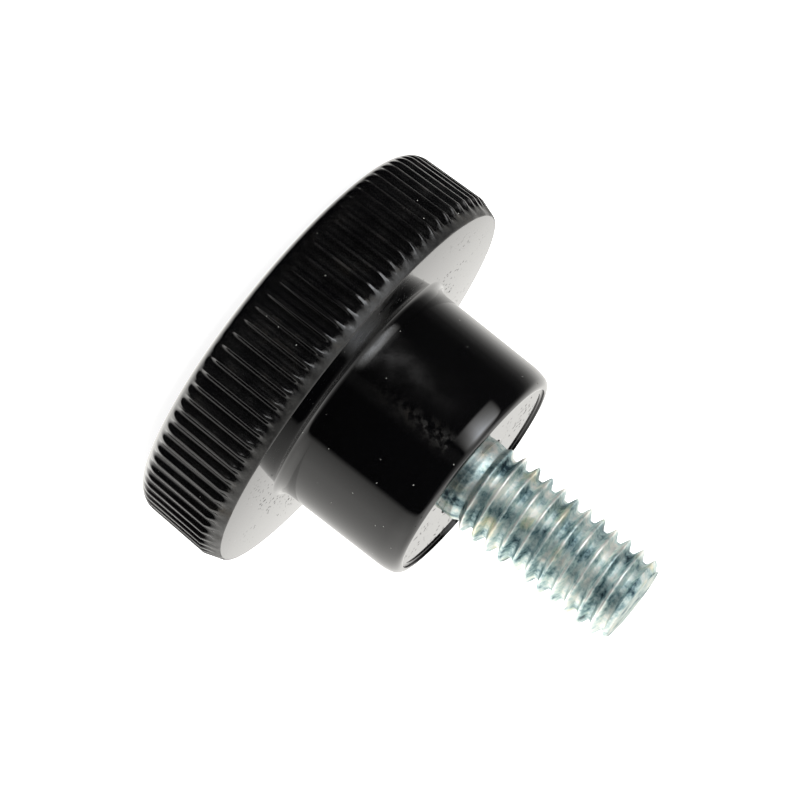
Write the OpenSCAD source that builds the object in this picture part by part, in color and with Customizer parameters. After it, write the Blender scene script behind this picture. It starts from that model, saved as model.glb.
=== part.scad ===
// Knurled thumb knob with a male metric stud.
// A fluted head and a plain hub are moulded in one piece around a headed steel screw.
// The knob stands on its crown: z = 0 is the flat of the crown, and the stud points up.

/* [Head] */
// Diameter over the flute crests at their widest, next to the underside
head_d = 27.28; // [24:0.02:40]
// Height from the flat of the crown to the underside of the head
head_h = 7.15; // [6:0.05:10]
// Diameter of the flat in the middle of the crown
crown_flat_d = 15; // [10:0.5:18]
// Radius of the shallow arc that falls away from the flat of the crown
crown_arc_r = 18.2; // [14:0.1:30]
// Radius of the shoulder between the crown and the rim
shoulder_r = 1.3; // [0.6:0.1:1.6]
// Draft of the rim, which opens towards the underside, in degrees
rim_draft = 2.25; // [0.5:0.05:4]
// Height of the sloping band between the rim and the underside
skirt_h = 1.21; // [0.8:0.01:2]
// Slope of that band from the axis, in degrees
skirt_angle = 18.9; // [10:0.1:30]
// Rounding of the edge between the sloping band and the underside
skirt_edge_r = 0.15; // [0.1:0.05:0.5]

/* [Flutes] */
// Number of flutes round the rim
flute_count = 85; // [60:1:90]
// Radius of the round bottom of a flute
flute_r = 0.4; // [0.2:0.02:0.42]
// Depth of a flute below the widest flute crests
flute_depth = 0.33; // [0.2:0.01:0.4]

/* [Hub] */
// Diameter of the hub near its end
hub_d = 15.18; // [14:0.02:20]
// Draft of the hub, which narrows towards its end, in degrees
hub_draft = 0.65; // [0.1:0.05:2]
// Height of the whole moulding, from the crown to the lip of the hub
knob_h = 16.08; // [13:0.02:24]
// Fillet between the hub and the underside of the head
hub_fillet_r = 0.6; // [0.2:0.1:1]
// Length over which the hub draws in towards its end
hub_ease_l = 1.4; // [1:0.1:2]
// Radius of the slow curve that draws it in
hub_ease_r = 3.9; // [3:0.1:6]
// Radius of the edge at the hub's end
hub_edge_r = 0.55; // [0.3:0.05:0.8]
// Width of the flat lip round the hub's end
lip_w = 0.1; // [0.05:0.05:0.5]
// Depth of the recess inside the lip
recess_depth = 0.18; // [0.1:0.02:0.6]

/* [Stud] */
// Major diameter of the thread
thread_d = 6; // [4:1:8]
// How much narrower the plain shank is, which the thread is rolled on
shank_relief = 0.64; // [0.3:0.02:1]
// Reach of the stud beyond the lip of the hub
stud_reach = 12.23; // [8:0.01:40]
// Length of plain shank that shows above the recess
neck_l = 1.1; // [0.4:0.1:3]
// Length of the chamfer at the tip
tip_chamfer_l = 0.6; // [0.3:0.1:1.5]
// How far the chamfer comes in from the thread's major diameter
tip_inset = 0.45; // [0.2:0.05:1]
// Length of shank buried in the hub, between the recess and the hidden head
buried_l = 7.6; // [5:0.1:9.5]
// Width across the flats of the hidden hexagon head
anchor_af = 10; // [8:0.5:11]
// Thickness of the hidden head
anchor_h = 4; // [2:0.5:5]
// Gap between the moulding and the steel that it holds
moulding_gap = 0.01; // [0.01:0.01:0.05]

/* [Hidden] */
$fn = 96;
// Overshoot that keeps cutters clear of the faces they cut through
past = 0.5;
// Bite that an edge's arc takes into the faces it blends, so that it meets them in clean lines
bite = 0.002;
hexagon = 6;

function unit(v) = v / norm(v);
// Distance from a corner to where an arc of radius r meets either side
function arc_reach(corner, a, b, r) = r / tan(acos(unit(a - corner) * unit(b - corner)) / 2);
// Point where the arc meets the side that runs from the corner towards a
function arc_end(corner, a, b, r) = corner + unit(a - corner) * arc_reach(corner, a, b, r);
// Centre of the arc that rounds the corner between a and b
function arc_centre(corner, a, b, r) =
    corner + unit(unit(a - corner) + unit(b - corner)) * norm([r, arc_reach(corner, a, b, r)]);

head_r = head_d / 2;
crown_flat_r = crown_flat_d / 2;
skirt_z = head_h - skirt_h;
ease_z = knob_h - hub_ease_l;
recess_z = knob_h - recess_depth;
shank_d = thread_d - shank_relief;

// Radius of the drafted hub at a height z
function hub_at(z) = hub_d / 2 + (ease_z - z) * tan(hub_draft);

// The shoulder's arc lies inside both the crown's arc and the rim, and its centre solves a quadratic in z
crown_centre = [crown_flat_r, crown_arc_r];
draft_slope = tan(rim_draft);
rim_inset = head_r - skirt_z * draft_slope - shoulder_r / cos(rim_draft) - crown_flat_r;
quad_a = 1 + pow(draft_slope, 2);
quad_b = rim_inset * draft_slope - crown_arc_r;
quad_c = pow(rim_inset, 2) + pow(crown_arc_r, 2) - pow(crown_arc_r - shoulder_r, 2);
shoulder_z = (-quad_b - sqrt(pow(quad_b, 2) - quad_a * quad_c)) / quad_a;
shoulder_centre = [crown_flat_r + rim_inset + shoulder_z * draft_slope, shoulder_z];
shoulder_start = crown_centre + unit(shoulder_centre - crown_centre) * crown_arc_r;
shoulder_end = shoulder_centre + shoulder_r * [cos(rim_draft), -sin(rim_draft)];

// Corners of the sloping band and of the hub's root
skirt_top = [head_r, skirt_z];
skirt_foot = [head_r - skirt_h * tan(skirt_angle), head_h];
hub_root = [hub_at(head_h), head_h];

// The slow curve at the hub's end, and the edge that follows it and ends flat on the lip
ease_start = [hub_at(ease_z), ease_z];
ease_centre = ease_start - hub_ease_r * [cos(hub_draft), sin(hub_draft)];
edge_turn = asin((knob_h - hub_edge_r - ease_centre[1]) / (hub_ease_r - hub_edge_r));
edge_way = [cos(edge_turn), sin(edge_turn)];
ease_end = ease_centre + hub_ease_r * edge_way;
edge_centre = ease_end - hub_edge_r * edge_way;
lip_r = edge_centre[0];
recess_r = lip_r - lip_w;

// Half of the moulding's section, with its axis along the left side
module body_section() {
    difference() {
        union() {
            polygon([
                [0, 0],
                [crown_flat_r, 0],
                shoulder_start,
                shoulder_end,
                skirt_top,
                arc_end(skirt_foot, skirt_top, hub_root, skirt_edge_r),
                arc_end(skirt_foot, hub_root, skirt_top, skirt_edge_r),
                arc_end(hub_root, skirt_foot, ease_start, hub_fillet_r),
                arc_end(hub_root, ease_start, skirt_foot, hub_fillet_r),
                ease_start,
                ease_end,
                [lip_r, knob_h],
                [0, knob_h]
            ]);
            intersection() {
                translate(crown_centre) circle(crown_arc_r, $fn = 720);
                polygon([[crown_flat_r, 0], shoulder_start, [shoulder_start[0], 0]]);
            }
            translate(shoulder_centre) circle(shoulder_r + bite);
            translate(arc_centre(skirt_foot, skirt_top, hub_root, skirt_edge_r)) circle(skirt_edge_r + bite);
            intersection() {
                translate(ease_centre) circle(hub_ease_r + bite, $fn = 360);
                translate([edge_centre[0], ease_z - past]) square([1, ease_end[1] - ease_z + past]);
            }
            translate(edge_centre) circle(hub_edge_r + 2 * bite);
        }
        translate(arc_centre(hub_root, skirt_foot, ease_start, hub_fillet_r)) circle(hub_fillet_r + bite);
    }
}

// Round-bottomed grooves, parallel to the axis, that run out in the shoulder and in the sloping band
module flutes() {
    for (i = [0 : flute_count - 1])
        rotate(i * 360 / flute_count)
            translate([head_r - flute_depth + flute_r, 0, -past])
                cylinder(r = flute_r, h = head_h + 2 * past, $fn = 32);
}

// The hidden shank and hexagon head, grown by gap to cut the space that holds them
module anchor(gap) {
    translate([0, 0, recess_z - buried_l])
        cylinder(d = shank_d + 2 * gap, h = buried_l + (gap > 0 ? past : 0));
    translate([0, 0, recess_z - buried_l - anchor_h - gap])
        cylinder(d = (anchor_af + 2 * gap) / cos(180 / hexagon), h = anchor_h + 2 * gap, $fn = hexagon);
}

module knob_body() {
    color([0.03, 0.03, 0.03])
        difference() {
            rotate_extrude() body_section();
            flutes();
            translate([0, 0, recess_z]) cylinder(r = recess_r, h = recess_depth + past);
            anchor(moulding_gap);
        }
}

// The thread is drawn as its major diameter
module threaded_stud() {
    thread_z = recess_z + neck_l;
    chamfer_z = knob_h + stud_reach - tip_chamfer_l;
    color([0.72, 0.76, 0.76])
        union() {
            anchor(0);
            translate([0, 0, recess_z]) cylinder(d = shank_d, h = neck_l);
            translate([0, 0, thread_z]) cylinder(d = thread_d, h = chamfer_z - thread_z);
            translate([0, 0, chamfer_z])
                cylinder(d1 = thread_d, d2 = thread_d - 2 * tip_inset, h = tip_chamfer_l);
        }
}

knob_body();
threaded_stud();
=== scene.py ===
import math

import bpy
import numpy as np
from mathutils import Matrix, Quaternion, Vector


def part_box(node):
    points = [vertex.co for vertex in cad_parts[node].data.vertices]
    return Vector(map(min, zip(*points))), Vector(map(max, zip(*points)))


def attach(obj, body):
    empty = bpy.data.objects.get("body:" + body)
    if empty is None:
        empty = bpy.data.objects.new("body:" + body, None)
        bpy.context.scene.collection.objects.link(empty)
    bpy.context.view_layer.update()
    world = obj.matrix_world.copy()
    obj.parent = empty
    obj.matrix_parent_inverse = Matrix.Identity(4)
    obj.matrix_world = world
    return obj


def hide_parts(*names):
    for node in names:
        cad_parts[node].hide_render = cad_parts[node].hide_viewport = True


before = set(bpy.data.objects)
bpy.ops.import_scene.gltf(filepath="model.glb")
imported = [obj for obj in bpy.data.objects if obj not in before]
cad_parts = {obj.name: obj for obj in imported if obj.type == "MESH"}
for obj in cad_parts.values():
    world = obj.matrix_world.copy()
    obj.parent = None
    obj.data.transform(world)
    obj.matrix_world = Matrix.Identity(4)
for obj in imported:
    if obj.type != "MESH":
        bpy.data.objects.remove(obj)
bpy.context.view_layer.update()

# --------------------------------------------------------------------------------------------
# Camera: a long lens about 300 mm off, 9 degrees above the plane that the knob stands on, and
# rolled well over, so that the stud points down to the right.
# --------------------------------------------------------------------------------------------
MM = 0.001
camera_data = bpy.data.cameras.new("camera")
camera_data.sensor_width = 36
camera_data.lens = 221.88
camera_data.clip_start = 0.01
camera_data.clip_end = 20
camera = bpy.data.objects.new("camera", camera_data)
bpy.context.scene.collection.objects.link(camera)
bpy.context.scene.camera = camera
camera_aim = Vector((-0.989, 0, 9.557)) * MM
camera.location = Vector((-0.989, -294.706, 56.486)) * MM
camera_roll = Quaternion((0, 0, 1), math.radians(128.19))
camera.rotation_mode = "QUATERNION"
camera.rotation_quaternion = (camera_aim - camera.location).to_track_quat("-Z", "Y") @ camera_roll


# --------------------------------------------------------------------------------------------
# Head and hub: one black phenolic moulding with a shallow domed crown, a finely fluted rim, a
# plain drafted hub and a shallow recess round the stud. It is moulded round the head of the
# screw in polished steel tools, so it comes out glossy, and only the flutes are a little dull.
# --------------------------------------------------------------------------------------------
# Sizes are in millimetres
knob_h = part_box("knob_body")[1][2] / MM
head_r = 13.64
head_h = 7.15
crown_flat_r = 7.5
crown_arc_r = 18.2
shoulder_r = 1.3
rim_draft = math.radians(2.25)
skirt_h = 1.21
skirt_angle = math.radians(18.9)
skirt_edge_r = 0.15
flute_count = 85
flute_r = 0.4
flute_depth = 0.33
crest_round = 0.16
flute_slope = 2.2
flute_draft = 0.016
flute_rise = 0.06
flute_rise_z = 6.1
flute_rise_l = 0.6
hub_r = 7.59
hub_draft = math.radians(0.65)
root_fillet_r = 0.49
root_ease_l = 0.82
root_ease_r = 1.6
root_ease_turn = math.radians(18)
hub_ease_l = 1.4
hub_ease_r = 3.9
hub_edge_r = 0.55
lip_w = 0.1
recess_depth = 0.18
shank_r = 2.68
buried_l = 7.6
anchor_flat_r = 5.0
anchor_h = 4.0
moulding_gap = 0.01
# Slack for telling whether a point lies at a face's height
hair = 0.005


def circle_arc(centre, radius, start, end, steps):
    """Points on a circle: centre + radius * (cos a, sin a), with a from start to end in radians."""
    a = np.linspace(start, end, steps)
    return np.stack([centre[0] + radius * np.cos(a), centre[1] + radius * np.sin(a)], 1)


def straight(start, end, steps):
    """Points on a line, drawn close together at both ends: start + (end - start) * s, where s is
    half of 1 - cos(pi t), so that a smooth-shaded face turns only next to its edges."""
    s = (1 - np.cos(np.linspace(0, math.pi, steps))) / 2
    return np.array(start) + s[:, None] * (np.array(end) - np.array(start))


def corner_arc(corner, before, after, radius, steps):
    """The arc of that radius that touches both sides of a corner. Its centre lies on the line that
    halves the corner, radius / sin(half angle) away."""
    corner, before, after = (np.array(p, float) for p in (corner, before, after))
    u = (before - corner) / np.linalg.norm(before - corner)
    v = (after - corner) / np.linalg.norm(after - corner)
    half = math.acos(u @ v) / 2
    centre = corner + (u + v) / np.linalg.norm(u + v) * radius / math.sin(half)
    reach = radius / math.tan(half)
    first, last = corner + u * reach - centre, corner + v * reach - centre
    start = math.atan2(first[1], first[0])
    turn = (math.atan2(last[1], last[0]) - start + math.pi) % (2 * math.pi) - math.pi
    return circle_arc(centre, radius, start, start + turn, steps)


def smooth_least(a, b, k):
    """The lesser of a and b, with the corner between them rounded over a band of width k:
    a blend of the two by h = 1/2 + (b - a) / 2k, kept in 0 to 1, less k h (1 - h)."""
    h = np.clip(0.5 + (b - a) / (2 * k), 0, 1)
    return b + (a - b) * h - k * h * (1 - h)


def skin(name, r, z, turn, node):
    """A closed skin of rows round the axis: a point is (r cos turn, r sin turn, z) for each row and
    column, and the first and last row are drawn together into a point on the axis."""
    rows, columns = r.shape
    points = np.stack([r * np.cos(turn), r * np.sin(turn), z], 2) * MM
    first, last = points[0].mean(0), points[-1].mean(0)
    corners = np.concatenate([points[1:-1].reshape(-1, 3), [first, last]])
    row, column = np.meshgrid(np.arange(rows - 3), np.arange(columns), indexing="ij")
    here, beside = row * columns + column, row * columns + (column + 1) % columns
    quads = np.stack([here, beside, beside + columns, here + columns], 2).reshape(-1, 4)
    around = np.arange(columns)
    next_round = (around + 1) % columns
    end_row = (rows - 3) * columns
    start_fan = np.stack([np.full(columns, len(corners) - 2), next_round, around], 1)
    end_fan = np.stack([np.full(columns, len(corners) - 1), end_row + around, end_row + next_round], 1)
    mesh = bpy.data.meshes.new(name)
    mesh.from_pydata(corners.tolist(), [], quads.tolist() + start_fan.tolist() + end_fan.tolist())
    mesh.shade_smooth()
    mesh.update()
    piece = bpy.data.objects.new(name, mesh)
    bpy.context.scene.collection.objects.link(piece)
    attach(piece, "root")
    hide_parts(node)
    return piece


def paint(piece, name, amount):
    """Stores one number a point, between the two poles, as an attribute that a material can read."""
    layer = piece.data.attributes.new(name, "FLOAT", "POINT")
    layer.data.foreach_set("value", np.concatenate([amount[1:-1].ravel(), amount[0, :1], amount[-1, :1]]))


def body_outline():
    """Half of the moulding's section, from the middle of the crown round the rim and the hub and
    back down the hole for the screw to the axis, as (radius, height) points. A radius of -1 stands
    for the side of the hexagon, whose distance depends on the angle round the axis."""
    slope = math.tan(rim_draft)
    inset = head_r - (head_h - skirt_h) * slope - shoulder_r / math.cos(rim_draft) - crown_flat_r
    a = 1 + slope**2
    b = inset * slope - crown_arc_r
    c = inset**2 + crown_arc_r**2 - (crown_arc_r - shoulder_r) ** 2
    shoulder_z = (-b - math.sqrt(b**2 - a * c)) / a
    shoulder = (crown_flat_r + inset + shoulder_z * slope, shoulder_z)
    crown = (crown_flat_r, crown_arc_r)
    crown_end = math.atan2(shoulder[1] - crown[1], shoulder[0] - crown[0])
    rim_way = np.array([math.cos(rim_draft), -math.sin(rim_draft)])
    rim_top = np.array(shoulder) + shoulder_r * rim_way
    skirt_top = (head_r, head_h - skirt_h)
    skirt_foot = (head_r - skirt_h * math.tan(skirt_angle), head_h)
    ease_z = knob_h - hub_ease_l
    root_z = head_h + root_ease_l
    root_start = np.array([hub_r + (ease_z - root_z) * math.tan(hub_draft), root_z])
    root = root_start + root_ease_r * np.array([math.cos(hub_draft), math.sin(hub_draft)])
    root_end = root - root_ease_r * np.array([math.cos(root_ease_turn), math.sin(root_ease_turn)])
    root_way = np.array([math.sin(root_ease_turn), -math.cos(root_ease_turn)])
    hub_root = root_end + root_way * (root_end[1] - head_h) / math.cos(root_ease_turn)
    ease_start = np.array([hub_r, ease_z])
    ease = ease_start - hub_ease_r * np.array([math.cos(hub_draft), math.sin(hub_draft)])
    edge_turn = math.asin((knob_h - hub_edge_r - ease[1]) / (hub_ease_r - hub_edge_r))
    edge = ease + (hub_ease_r - hub_edge_r) * np.array([math.cos(edge_turn), math.sin(edge_turn)])
    recess_r = edge[0] - lip_w
    recess_z = knob_h - recess_depth
    hole_r = shank_r + moulding_gap
    head_top = recess_z - buried_l + moulding_gap
    head_foot = head_top - anchor_h - 2 * moulding_gap
    return [
        straight((0, 0), crown[:1] + (0,), 4),
        circle_arc(crown, crown_arc_r, -math.pi / 2, crown_end, 9)[1:],
        circle_arc(shoulder, shoulder_r, crown_end, -rim_draft, 14)[1:],
        straight(rim_top, skirt_top, 7)[1:],
        straight(skirt_top, corner_arc(skirt_foot, skirt_top, hub_root, skirt_edge_r, 2)[0], 12)[1:],
        corner_arc(skirt_foot, skirt_top, hub_root, skirt_edge_r, 5)[1:],
        corner_arc(hub_root, skirt_foot, root_end, root_fillet_r, 9),
        circle_arc(root, root_ease_r, math.pi + root_ease_turn, math.pi + hub_draft, 9),
        circle_arc(ease, hub_ease_r, hub_draft, edge_turn, 9),
        circle_arc(edge, hub_edge_r, edge_turn, math.pi / 2, 9)[1:],
        straight((edge[0], knob_h), (recess_r, knob_h), 3)[1:],
        straight((recess_r, knob_h), (recess_r, recess_z), 4)[1:],
        straight((recess_r, recess_z), (hole_r, recess_z), 7)[1:],
        straight((hole_r, recess_z), (hole_r, head_top), 3)[1:],
        straight((-1, head_top), (-1, head_foot), 3),
        straight((-1, head_foot), (0, head_foot), 3)[1:],
    ]


def hexagon_radius(turn, flat_r):
    """Distance from the axis to a hexagon's side: flat_r / cos of the angle from that side's middle.
    A corner points along +X."""
    return flat_r / np.cos(turn % (math.pi / 3) - math.pi / 6)


def flute_floor(turn):
    """Distance from the axis to the inner side of a round-bottomed flute. For a cutter of radius
    flute_r whose axis is cut_r out, it is cut_r cos p - sqrt(flute_r^2 - (cut_r sin p)^2), with p the
    angle from the middle of the flute. Between flutes it climbs away steeply, so it cuts nothing."""
    cut_r = head_r - flute_depth + flute_r
    pitch = 2 * math.pi / flute_count
    p = (turn + pitch / 2) % pitch - pitch / 2
    aside = np.abs(cut_r * np.sin(p))
    cut = np.sqrt(np.clip(flute_r**2 - aside**2, 0, None))
    return cut_r * np.cos(p) - cut + flute_slope * np.clip(aside - flute_r, 0, None)


# Columns crowd at the lands between the flutes, as shares of the distance from flute to flute
flute_steps = np.array([-0.5, -0.44, -0.4, -0.35, -0.27, -0.14, 0, 0.14, 0.27, 0.35, 0.4, 0.44])
body_turn = ((np.arange(flute_count)[:, None] + flute_steps) * 2 * math.pi / flute_count).ravel()
outline = np.concatenate(body_outline())
turn, outline_r = np.meshgrid(body_turn, outline[:, 0])
outline_z = np.broadcast_to(outline[:, 1:], turn.shape)
pocket_r = hexagon_radius(turn, anchor_flat_r + moulding_gap)
outline_r = np.where(outline_r < 0, -outline_r * pocket_r, outline_r)
on_rim = (outline_z < head_h + hair) & (outline_r > hub_r + 1)
rise = flute_rise * np.clip((outline_z - flute_rise_z) / flute_rise_l, 0, 1)
draft = flute_draft * np.clip(head_h - skirt_h - outline_z, 0, 5)
body_r = smooth_least(outline_r, flute_floor(turn) + rise - draft, crest_round)
body_r = np.where(on_rim, body_r, outline_r)
body = skin("moulded_knob", body_r, outline_z, turn, "knob_body")

# How dull the skin is: the flutes a little, the lands between them more, and most of all the sloping
# band, whose ragged upper edge starts at band_z. A patch of the root is dull too, left of the front
band_z = 6.3
patch_turn, patch_w = -0.35, 0.2
streak_turn, streak_w = -0.085, 0.075
proud = np.clip(1.2 - (outline_r - body_r) / 0.12 + 2 * np.clip(outline_z - 6.7, 0, 1), 0, 1)
from_groove = np.abs((turn * flute_count / (2 * math.pi) + 0.5) % 1 - 0.5)
on_lands = 0.1 * np.clip((from_groove - 0.38) / 0.05, 0, 1) * np.clip((outline_z - 1.5) / 0.5, 0, 1)
on_flutes = 0.2 * np.clip((outline_z - 0.9) / 0.5, 0, 1)
ragged = 0.12 * np.sin(turn * 211) + 0.1 * np.sin(turn * 347 + 1)
on_band = (0.72 + 0.08 * proud) * np.clip((outline_z - band_z + ragged) / 0.3, 0, 1)
round_front = (turn + math.pi / 2 + math.pi) % (2 * math.pi) - math.pi
in_patch = 0.6 * np.exp(-(((round_front - patch_turn) / patch_w) ** 2)) * (outline_z > head_h - 0.1)
in_patch = in_patch * np.clip((head_h + 1.1 - outline_z) / 0.7, 0, 1)
on_side = on_rim & (outline_z < head_h - hair)
paint(body, "rubbed", np.where(on_side, np.maximum(on_flutes + on_lands, on_band), in_patch))

# A streak of painted reflection, blotched like a scuff, runs along the front of the hub; it lightens the
# colour and dulls the skin there
streak = np.exp(-(((round_front - streak_turn) / streak_w) ** 2)) * (outline_r > hub_r - 0.2)
along_hub = np.clip((outline_z - 8.8) / 1.5, 0, 1) * np.clip((14.9 - outline_z) / 0.4, 0, 1)
paint(body, "scuff_and_sheen", streak * along_hub)

# The underside and the floor of the recess are the flat faces
on_underside = (np.abs(outline_z - head_h) < 0.02) & (outline_r < head_r - 0.6)
in_recess = np.abs(outline_z - knob_h + recess_depth) < 0.01
paint(body, "flat_face", np.where(on_underside | in_recess, 1.0, 0.0))


def linear(code):
    """An sRGB hex colour as linear RGBA: each channel c becomes c / 12.92 up to 0.04045, and above
    that ((c + 0.055) / 1.055) ^ 2.4."""
    c = np.array([int(code[i : i + 2], 16) for i in (1, 3, 5)]) / 255
    return (*np.where(c <= 0.04045, c / 12.92, ((c + 0.055) / 1.055) ** 2.4), 1.0)


def add(tree, kind, sockets=None, stops=None, **settings):
    """Adds a node of that kind with its settings. Each socket, by name or number, is set to the value
    that it is given, or linked where it is given an output, or a node, which stands for its first
    output. Stops are the (place, colour) pairs of a colour ramp, in order of place."""
    node = tree.nodes.new(kind)
    for key, value in settings.items():
        setattr(node, key, value)
    for key, value in (sockets or {}).items():
        if isinstance(value, bpy.types.Node):
            tree.links.new(value.outputs[0], node.inputs[key])
        elif isinstance(value, bpy.types.NodeSocket):
            tree.links.new(value, node.inputs[key])
        else:
            node.inputs[key].default_value = value
    if stops:
        elements = node.color_ramp.elements
        elements.remove(elements[1])
        for place, colour in stops:
            elements.new(place).color = colour
        elements.remove(elements[0])
    return node


def phenolic():
    """Glossy black phenolic: a hard dark resin skin that mirrors the room, with a slight peel, fine
    pits on the flat faces, duller flutes and a satin band below them, specks of dust, and a streak of
    painted reflection along the front of the hub."""
    material = bpy.data.materials.new("moulded black phenolic")
    material.use_nodes = True
    tree = material.node_tree
    tree.nodes.clear()
    place = add(tree, "ShaderNodeTexCoord").outputs["Object"]
    rubbed = add(tree, "ShaderNodeAttribute", attribute_name="rubbed").outputs["Fac"]
    flat_face = add(tree, "ShaderNodeAttribute", attribute_name="flat_face").outputs["Fac"]
    scuff_and_sheen = add(tree, "ShaderNodeAttribute", attribute_name="scuff_and_sheen").outputs["Fac"]

    # Grain of 0.15 mm and patches of 1.5 mm where the skin has gone dull, and blots of 0.4 mm that break up
    # the hub's painted reflection streak
    grain = add(tree, "ShaderNodeTexNoise", {"Vector": place, "Scale": 7000, "Detail": 4, "Roughness": 0.7})
    patches = add(tree, "ShaderNodeTexNoise", {"Vector": place, "Scale": 700, "Detail": 3})
    blots = add(tree, "ShaderNodeTexNoise", {"Vector": place, "Scale": 2600, "Detail": 2})
    patchy = add(tree, "ShaderNodeMath", {0: patches, 1: 2.4, 2: -0.25}, operation="MULTIPLY_ADD")
    rubbed = add(tree, "ShaderNodeMath", {0: rubbed, 1: patchy}, operation="MULTIPLY")
    blots = add(tree, "ShaderNodeMapRange", {"Value": blots, "From Min": 0.45, "From Max": 0.6})
    scuff_and_sheen = add(tree, "ShaderNodeMath", {0: scuff_and_sheen, 1: blots}, operation="MULTIPLY")
    wear_and_sheen = add(tree, "ShaderNodeMath", {0: rubbed, 1: scuff_and_sheen}, operation="MAXIMUM")
    grainy = add(tree, "ShaderNodeMath", {0: grain, 1: 3.2, 2: -0.7}, operation="MULTIPLY_ADD")
    fade_and_sheen = add(tree, "ShaderNodeMath", {0: wear_and_sheen, 1: wear_and_sheen}, operation="MULTIPLY")
    fade_and_sheen = add(tree, "ShaderNodeMath", {0: fade_and_sheen, 1: grainy}, operation="MULTIPLY")
    # The hub's painted reflection streak and the wear both lighten the colour
    speckled = add(tree, "ShaderNodeMath", {0: scuff_and_sheen, 1: 0.8, 2: fade_and_sheen}, operation="MULTIPLY_ADD")
    speckled.use_clamp = True

    # Pits of 0.05 to 0.1 mm, crowded in places on the flat faces
    crowd = add(tree, "ShaderNodeTexNoise", {"Vector": place, "Scale": 420, "Detail": 1})
    pit = add(tree, "ShaderNodeTexVoronoi", {"Vector": place, "Scale": 2700})
    pit_size = add(tree, "ShaderNodeMath", {0: crowd, 1: 1.2, 2: -0.5}, operation="MULTIPLY_ADD")
    pit_size = add(tree, "ShaderNodeMath", {0: pit_size, 1: 0.26}, operation="MINIMUM")
    pitted = add(tree, "ShaderNodeMath", {0: pit_size, 1: pit}, operation="GREATER_THAN")
    pitted = add(tree, "ShaderNodeMath", {0: pitted, 1: flat_face}, operation="MULTIPLY")

    # Specks of dust about 0.06 mm across, a millimetre or two apart
    dust = add(tree, "ShaderNodeTexVoronoi", {"Vector": place, "Scale": 1000})
    dusty = add(tree, "ShaderNodeMath", {0: dust, 1: 0.032}, operation="LESS_THAN")

    # Black where it is glossy, grey to brown where the skin shows wear, and the same grey along the hub's
    # painted reflection streak
    stain_and_sheen = add(
        tree,
        "ShaderNodeValToRGB",
        {0: patches},
        [(0, linear("#262626")), (0.6, linear("#2b2a28")), (0.8, linear("#3a342b"))],
    )
    colour = add(tree, "ShaderNodeMix", {0: speckled, 6: linear("#040405"), 7: stain_and_sheen}, data_type="RGBA")
    colour = add(
        tree, "ShaderNodeMix", {0: dusty, 6: colour.outputs[2], 7: linear("#b9bab4")}, data_type="RGBA"
    )
    roughness = add(tree, "ShaderNodeMath", {0: wear_and_sheen, 1: 0.6, 2: 0.05}, operation="MULTIPLY_ADD")
    roughness = add(tree, "ShaderNodeMath", {0: pitted, 1: 0.7, 2: roughness}, operation="MULTIPLY_ADD")
    roughness = add(tree, "ShaderNodeMath", {0: dusty, 1: 0.6, 2: roughness}, operation="MULTIPLY_ADD")

    peel = add(tree, "ShaderNodeTexNoise", {"Vector": place, "Scale": 330, "Detail": 2})
    bump = add(tree, "ShaderNodeBump", {"Height": peel, "Strength": 0.15, "Distance": 0.00002})
    grit = add(tree, "ShaderNodeMath", {0: grain, 1: wear_and_sheen}, operation="MULTIPLY")
    bump = add(
        tree, "ShaderNodeBump", {"Height": grit, "Strength": 0.6, "Distance": 0.00004, "Normal": bump}
    )
    shader = add(
        tree,
        "ShaderNodeBsdfPrincipled",
        {"Base Color": colour.outputs[2], "Roughness": roughness, "IOR": 1.6, "Normal": bump},
    )
    add(tree, "ShaderNodeOutputMaterial", {"Surface": shader})
    return material


body.data.materials.append(phenolic())


# --------------------------------------------------------------------------------------------
# Stud: a hexagon-headed M6 screw of zinc-plated steel, whose head is buried in the moulding. Its
# right-hand thread is rolled, so the crests stand proud of the plain neck that it was rolled on.
# --------------------------------------------------------------------------------------------
tip_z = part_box("threaded_stud")[1][2] / MM
pitch = 1.0
crest_r = 2.97
root_r = 2.39
crest_w = 0.1
root_w = 0.26
crest_z = 17.352
neck_top_z = 16.1
thread_in_l = 1.6
flank_bulge = 0.035
run_in_slant = 0.12
plain_top_z = neck_top_z - 0.2
rows_a_pitch = 34
tip_chamfer_l = 0.6
tip_r = 2.47


def thread_radius(turn, z):
    """The rolled thread: with t the distance along the axis to the nearest crest, which climbs one
    pitch a turn, the radius is crest_r on the crest, root_r in the root and straight on the flanks
    between them. A smooth ramp, 3 s^2 - 2 s^3, brings it up from the plain shank."""
    t = np.abs((z - crest_z - turn / (2 * math.pi) * pitch + pitch / 2) % pitch - pitch / 2)
    down = np.clip((t - crest_w / 2) / (pitch / 2 - crest_w / 2 - root_w / 2), 0, 1)
    down = down - flank_bulge * np.sin(2 * math.pi * down)
    thread = crest_r + (root_r - crest_r) * down
    grown = np.clip((z - neck_top_z - run_in_slant * np.sin(turn)) / thread_in_l, 0, 1)
    grown = grown * grown * (3 - 2 * grown)
    return shank_r + (thread - shank_r) * grown


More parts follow.
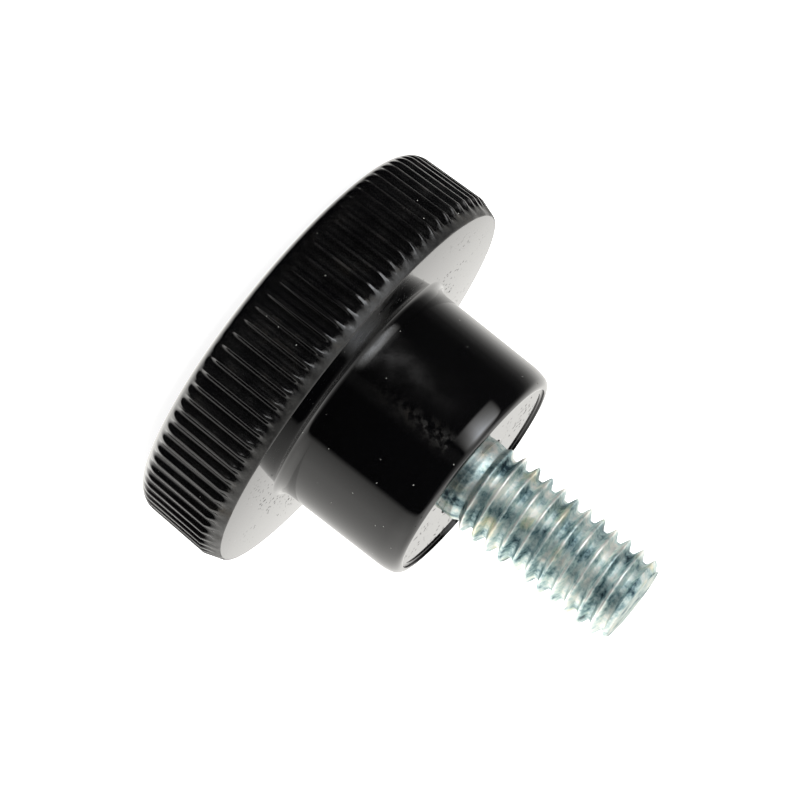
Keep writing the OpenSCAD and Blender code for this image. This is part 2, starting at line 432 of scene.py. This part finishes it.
recess_z = knob_h - recess_depth
head_top = recess_z - buried_l
head_foot = head_top - anchor_h
stud_outline = np.concatenate(
    [
        straight((0, head_foot), (-1, head_foot), 4),
        straight((-1, head_foot), (-1, head_top), 4)[1:],
        straight((shank_r, head_top), (shank_r, plain_top_z), 12),
    ]
)
thread_rows = np.arange(plain_top_z + 0.03, tip_z, pitch / rows_a_pitch)
tip_rows = straight((tip_r, tip_z), (0, tip_z), 8)
rows_z = np.concatenate([stud_outline[:, 1], thread_rows, tip_rows[:, 1]])
rows_r = np.concatenate([stud_outline[:, 0], np.full(len(thread_rows), crest_r), tip_rows[:, 0]])
stud_turn = np.linspace(0, 2 * math.pi, 144, endpoint=False)
turn, stud_r = np.meshgrid(stud_turn, rows_r)
stud_z = np.broadcast_to(rows_z[:, None], turn.shape)
stud_r = np.where(stud_r < 0, -stud_r * hexagon_radius(turn, anchor_flat_r), stud_r)
chamfer_r = tip_r + (crest_r + 0.03 - tip_r) * (tip_z - stud_z) / tip_chamfer_l
threaded = (stud_z > plain_top_z + 0.02) & (stud_r > tip_r + 0.001)
thread_r = smooth_least(thread_radius(turn, stud_z), chamfer_r, 0.05)
stud_r = np.where(threaded, thread_r, stud_r)
stud = skin("threaded_stud_M6", stud_r, stud_z, turn, "threaded_stud")
on_thread = threaded & (stud_z > neck_top_z + 0.6)
# The thread's crests get a painted highlight, a lighter colour, and a smoother skin
paint(stud, "crest", np.where(on_thread, np.clip((stud_r - 2.88) / 0.07, 0, 1), 0))
paint(stud, "cut_end", np.where((stud_z > tip_z - 0.004) & (stud_r < tip_r + 0.02), 1.0, 0.0))


def zinc_steel():
    """Bright zinc plate on steel: a soft bluish mirror, clouded and mottled where the plate is thin
    or tarnished, with a painted highlight along the thread's crests and a little darker on the sheared tip."""
    material = bpy.data.materials.new("zinc plated steel")
    material.use_nodes = True
    tree = material.node_tree
    tree.nodes.clear()
    place = add(tree, "ShaderNodeTexCoord").outputs["Object"]
    crest = add(tree, "ShaderNodeAttribute", attribute_name="crest").outputs["Fac"]
    cut_end = add(tree, "ShaderNodeAttribute", attribute_name="cut_end").outputs["Fac"]

    # Clouds of about 1.2 mm and flecks of about 0.25 mm, where the plate is thick or thin
    cloud = add(tree, "ShaderNodeTexNoise", {"Vector": place, "Scale": 850, "Detail": 2, "Roughness": 0.5})
    fleck = add(
        tree, "ShaderNodeTexNoise", {"Vector": place, "Scale": 4200, "Detail": 3, "Roughness": 0.65}
    )
    tone = add(tree, "ShaderNodeMath", {0: cloud, 1: 2.6, 2: -0.8}, operation="MULTIPLY_ADD")
    tone = add(tree, "ShaderNodeMath", {0: fleck, 1: 1.2, 2: tone}, operation="MULTIPLY_ADD")
    # A painted highlight lightens the colour along the thread's crests
    tone = add(tree, "ShaderNodeMath", {0: crest, 1: 0.25, 2: tone}, operation="MULTIPLY_ADD")
    tone = add(tree, "ShaderNodeMapRange", {"Value": tone, "From Min": 0.45, "From Max": 1.6})
    tones = [(0, "#38505a"), (0.3, "#90acb0"), (0.55, "#c9dcda"), (1, "#fdfdf6")]
    tint = add(tree, "ShaderNodeValToRGB", {0: tone}, [(at, linear(code)) for at, code in tones])

    # A thin yellowish passivation film shows in a few places
    film = add(tree, "ShaderNodeTexNoise", {"Vector": place, "Scale": 620, "Detail": 1})
    film = add(
        tree, "ShaderNodeMapRange", {"Value": film, "From Min": 0.6, "From Max": 0.72, "To Max": 0.4}
    )
    colour = add(
        tree,
        "ShaderNodeMix",
        {0: film, 6: tint, 7: linear("#fff0bd")},
        data_type="RGBA",
        blend_type="MULTIPLY",
    )
    sheared = add(tree, "ShaderNodeMath", {0: cut_end, 1: 0.8}, operation="MULTIPLY")
    colour = add(
        tree,
        "ShaderNodeMix",
        {0: sheared, 6: colour.outputs[2], 7: linear("#c6c9c5")},
        data_type="RGBA",
        blend_type="MULTIPLY",
    )
    roughness = add(tree, "ShaderNodeMath", {0: crest, 1: -0.12, 2: 0.5}, operation="MULTIPLY_ADD")
    height = add(tree, "ShaderNodeMath", {0: fleck, 1: 0.5, 2: cloud}, operation="MULTIPLY_ADD")
    bump = add(tree, "ShaderNodeBump", {"Height": height, "Strength": 0.5, "Distance": 0.0001})
    shader = add(
        tree,
        "ShaderNodeBsdfPrincipled",
        {"Base Color": colour.outputs[2], "Metallic": 0.8, "Roughness": roughness, "Normal": bump},
    )
    add(tree, "ShaderNodeOutputMaterial", {"Surface": shader})
    return material


stud.data.materials.append(zinc_steel())


# --------------------------------------------------------------------------------------------
# Studio: a wide white floor, white surroundings at the back and on the stud's lower side, dark on
# the camera's side, a soft box to the upper left of the camera and a broad light overhead.
# --------------------------------------------------------------------------------------------
floor_r = 3.0
floor_turn = np.linspace(0, 2 * math.pi, 64, endpoint=False)
floor_mesh = bpy.data.meshes.new("floor")
floor_rim = np.stack([floor_r * np.cos(floor_turn), floor_r * np.sin(floor_turn), 0 * floor_turn], 1)
floor_mesh.from_pydata(floor_rim.tolist(), [], [list(range(64))])
floor = bpy.data.objects.new("floor", floor_mesh)
bpy.context.scene.collection.objects.link(floor)
floor.visible_glossy = False
floor_material = bpy.data.materials.new("white card")
floor_material.use_nodes = True
card = floor_material.node_tree.nodes["Principled BSDF"]
card.inputs["Base Color"].default_value = (0.9, 0.9, 0.9, 1)
card.inputs["Roughness"].default_value = 0.9
card.inputs["Emission Color"].default_value = (1, 1, 1, 1)
card.inputs["Emission Strength"].default_value = 0.9
floor_mesh.materials.append(floor_material)


def surroundings():
    """The room as brightness by direction: one ramp goes by the angle from the camera's side, -Y,
    towards +X, and one by height. Below the horizon the dark side reaches further round and +X is
    the brighter side. A soft box to the camera's upper left and a pale ceiling are added on top."""
    world = bpy.data.worlds.new("studio")
    bpy.context.scene.world = world
    world.use_nodes = True
    tree = world.node_tree
    tree.nodes.clear()
    way = add(tree, "ShaderNodeTexCoord").outputs["Generated"]
    split = add(tree, "ShaderNodeSeparateXYZ", {0: way})
    east, north, up = split.outputs
    below = add(
        tree, "ShaderNodeMapRange", {"Value": up, "From Min": -0.14, "From Max": -1, "To Max": 0.86}
    )
    ahead = add(tree, "ShaderNodeMath", {0: north, 1: -1.0}, operation="MULTIPLY")
    shift = add(tree, "ShaderNodeMath", {0: below, 1: 0.25}, operation="MINIMUM")
    near = add(tree, "ShaderNodeMath", {0: shift, 1: ahead}, operation="ADD")
    compass = add(tree, "ShaderNodeMath", {0: east, 1: near}, operation="ARCTAN2")
    share = add(tree, "ShaderNodeMath", {0: compass, 1: 0.5 / math.pi, 2: 0.5}, operation="MULTIPLY_ADD")
    height = add(tree, "ShaderNodeMath", {0: up, 1: 0.5, 2: 0.5}, operation="MULTIPLY_ADD")

    # Room by angle in degrees and by height
    round_stops = [
        (-180, 0.85), (-150, 1.0), (-141, 0.82), (-131, 0.5), (-121, 0.22), (-111, 0.07), (-98, 0.02),
        (-50, 0.02), (-12, 0.01), (-8, 0.04), (-1, 0.04), (5, 0.01), (61, 0.01), (66, 0.5), (74, 0.68),
        (90, 0.92), (150, 1.0), (180, 0.85),
    ]
    height_stops = [
        (-1, 0), (-0.95, 0.2), (-0.88, 0.5), (-0.75, 0.68), (-0.5, 0.7), (-0.35, 0.55), (-0.24, 0.4),
        (-0.14, 0.45), (0, 0.52), (0.156, 0.58), (0.4, 0.55), (0.7, 0.4), (1, 0.4),
    ]
    by_angle = add(
        tree, "ShaderNodeValToRGB", {0: share}, [((at + 180) / 360, (b, b, b, 1)) for at, b in round_stops]
    )
    by_height = add(
        tree, "ShaderNodeValToRGB", {0: height}, [((at + 1) / 2, (b, b, b, 1)) for at, b in height_stops]
    )
    room = add(tree, "ShaderNodeMath", {0: by_angle, 1: by_height}, operation="MULTIPLY")
    room_gain, lean_gain = 2.9, 8.7
    lean = add(tree, "ShaderNodeMath", {0: below, 1: east}, operation="MULTIPLY")
    lean = add(tree, "ShaderNodeMath", {0: lean, 1: lean_gain, 2: room_gain}, operation="MULTIPLY_ADD")
    room = add(tree, "ShaderNodeMath", {0: room, 1: lean}, operation="MULTIPLY")
    ceiling = add(
        tree, "ShaderNodeMapRange", {"Value": up, "From Min": 0.5, "From Max": 1.0, "To Max": 0.45}
    )
    room = add(tree, "ShaderNodeMath", {0: room, 1: ceiling}, operation="ADD")

    # Soft box by angle in degrees and by height, sharp along its lower side
    side_stops = [
        (-71, 0), (-66, 0.35), (-61, 0.5), (-51, 0.74), (-44, 0.95), (-38, 1), (-33, 0.8), (-27, 0.45),
        (-20, 0.2), (-17, 0.1), (-14, 0),
    ]
    rise_stops = [
        (-0.09, 0), (-0.04, 0.28), (0.03, 0.38), (0.12, 0.5), (0.25, 0.75), (0.36, 1), (0.44, 1),
        (0.58, 0.6), (0.75, 0.25), (0.9, 0),
    ]
    across = add(
        tree, "ShaderNodeValToRGB", {0: share}, [((at + 180) / 360, (b, b, b, 1)) for at, b in side_stops]
    )
    upward = add(
        tree, "ShaderNodeValToRGB", {0: height}, [((at + 1) / 2, (b, b, b, 1)) for at, b in rise_stops]
    )
    box_radiance = 6.4
    box = add(tree, "ShaderNodeMath", {0: across, 1: upward}, operation="MULTIPLY")
    lit = add(tree, "ShaderNodeMath", {0: box, 1: box_radiance, 2: room}, operation="MULTIPLY_ADD")

    # The camera sees plain white, and the soft box is a little cooler than the room
    backdrop = 1.2
    warm, cool = (1, 0.985, 0.95, 1), (0.92, 0.96, 1.02, 1)
    seen = add(tree, "ShaderNodeLightPath").outputs["Is Camera Ray"]
    seen = add(tree, "ShaderNodeMath", {0: seen, 1: backdrop}, operation="MULTIPLY")
    strength = add(tree, "ShaderNodeMath", {0: lit, 1: seen}, operation="MAXIMUM")
    tint = add(tree, "ShaderNodeMix", {0: box, 6: warm, 7: cool}, data_type="RGBA")
    sky = add(tree, "ShaderNodeBackground", {"Color": tint.outputs[2], "Strength": strength})
    add(tree, "ShaderNodeOutputWorld", {"Surface": sky})


surroundings()

# A lamp's power is pi * area * radiance
overhead_w = 0.9
overhead_z = 0.812
overhead_radiance = 0.4
overhead_data = bpy.data.lights.new("overhead", "AREA")
overhead_data.size = overhead_w
overhead_data.energy = math.pi * overhead_w**2 * overhead_radiance
overhead = bpy.data.objects.new("overhead", overhead_data)
overhead.location = (0, 0, overhead_z)
overhead.visible_camera = False
bpy.context.scene.collection.objects.link(overhead)
bpy.context.scene.view_settings.view_transform = "Standard"
